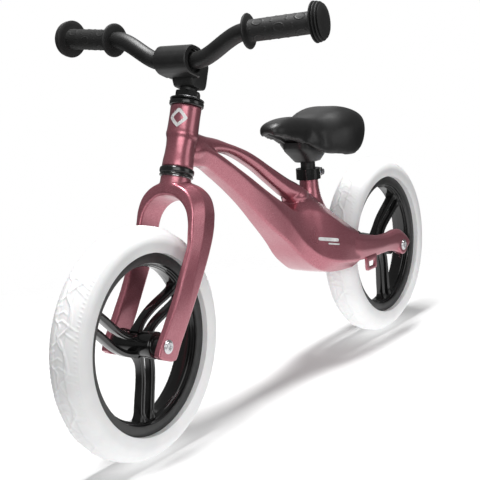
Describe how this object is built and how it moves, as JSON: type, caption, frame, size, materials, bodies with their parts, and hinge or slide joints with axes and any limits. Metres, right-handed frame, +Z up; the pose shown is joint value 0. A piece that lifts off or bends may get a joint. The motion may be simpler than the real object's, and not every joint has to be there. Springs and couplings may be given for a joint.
{
  "type": "balance bike",
  "caption": "Child's balance bike: one-piece cast frame with a slot under the top spar, curved fork, moulded double-blade wheels with white foam tyres, S-bend bar and a padded saddle.",
  "frame": {"origin": "on the floor, midway between the two axles on the bike's middle plane", "axes": "+X forwards in the direction of travel, +Y to the rider's left, +Z up"},
  "size_m": [0.93, 0.4144, 0.5416],
  "materials": {
    "rose_paint": "metallic gloss",
    "black_metal": "satin",
    "zinc_steel": "bright zinc",
    "bearing_steel": "polished",
    "black_plastic": "moulded gloss",
    "grip_rubber": "matt",
    "white_foam": "matt foam",
    "saddle_skin": "satin vinyl"
  },
  "bodies": {
    "frame": {"frame": "rose_paint", "headset_upper_cup": "black_metal", "headset_lower_cup": "black_metal", "seat_clamp_collar": "black_metal", "seat_clamp_bolt": "zinc_steel", "seat_clamp_nut": "zinc_steel", "rear_axle": "zinc_steel", "rear_axle_screws": "zinc_steel", "rear_axle_washers": "zinc_steel", "rear_axle_spacers": "black_plastic", "rear_axle_sleeve": "zinc_steel", "rear_inner_races": "bearing_steel"},
    "fork": {"fork": "rose_paint", "steerer_tube": "black_metal", "crown_race": "zinc_steel", "headset_lower_balls": "bearing_steel", "headset_upper_balls": "bearing_steel", "headset_top_race": "black_metal", "lock_washer": "zinc_steel", "lock_nut": "black_metal", "front_axle": "zinc_steel", "front_axle_screws": "zinc_steel", "front_axle_washers": "zinc_steel", "front_axle_spacers": "black_plastic", "front_axle_sleeve": "zinc_steel", "front_inner_races": "bearing_steel"},
    "handlebar": {"stem": "black_metal", "stem_clamp_cap": "black_metal", "stem_clamp_screws": "zinc_steel", "expander_bolt": "zinc_steel", "expander_wedge": "zinc_steel", "handlebar": "black_metal", "left_grip": "grip_rubber", "right_grip": "grip_rubber", "left_grip_cap": "grip_rubber", "right_grip_cap": "grip_rubber"},
    "front_wheel": {"front_tyre": "white_foam", "front_rim": "black_plastic", "front_outer_races": "bearing_steel", "front_balls": "bearing_steel", "front_shields": "black_plastic"},
    "rear_wheel": {"rear_tyre": "white_foam", "rear_rim": "black_plastic", "rear_outer_races": "bearing_steel", "rear_balls": "bearing_steel", "rear_shields": "black_plastic"},
    "saddle": {"saddle_cover": "saddle_skin", "saddle_base": "black_plastic", "saddle_bracket": "black_metal", "saddle_screws": "zinc_steel", "seat_post": "black_metal"}
  },
  "joints": [
    {"name": "steering", "type": "hinge", "parent": "frame", "child": "fork", "pos_m": [0.29483, 0, 0.13524], "axis": [-0.3616, 0, 0.9323], "continuous": true},
    {"name": "bar_height", "type": "slide", "parent": "fork", "child": "handlebar", "axis": [-0.3616, 0, 0.9323], "range_m": [0, 0.05]},
    {"name": "front_wheel_spin", "type": "hinge", "parent": "fork", "child": "front_wheel", "pos_m": [0.32, 0, 0.145], "axis": [0, 1, 0], "continuous": true},
    {"name": "rear_wheel_spin", "type": "hinge", "parent": "frame", "child": "rear_wheel", "pos_m": [-0.32, 0, 0.145], "axis": [0, 1, 0], "continuous": true},
    {"name": "saddle_height", "type": "slide", "parent": "frame", "child": "saddle", "axis": [0, 0, 1], "range_m": [0, 0.07]}
  ]
}
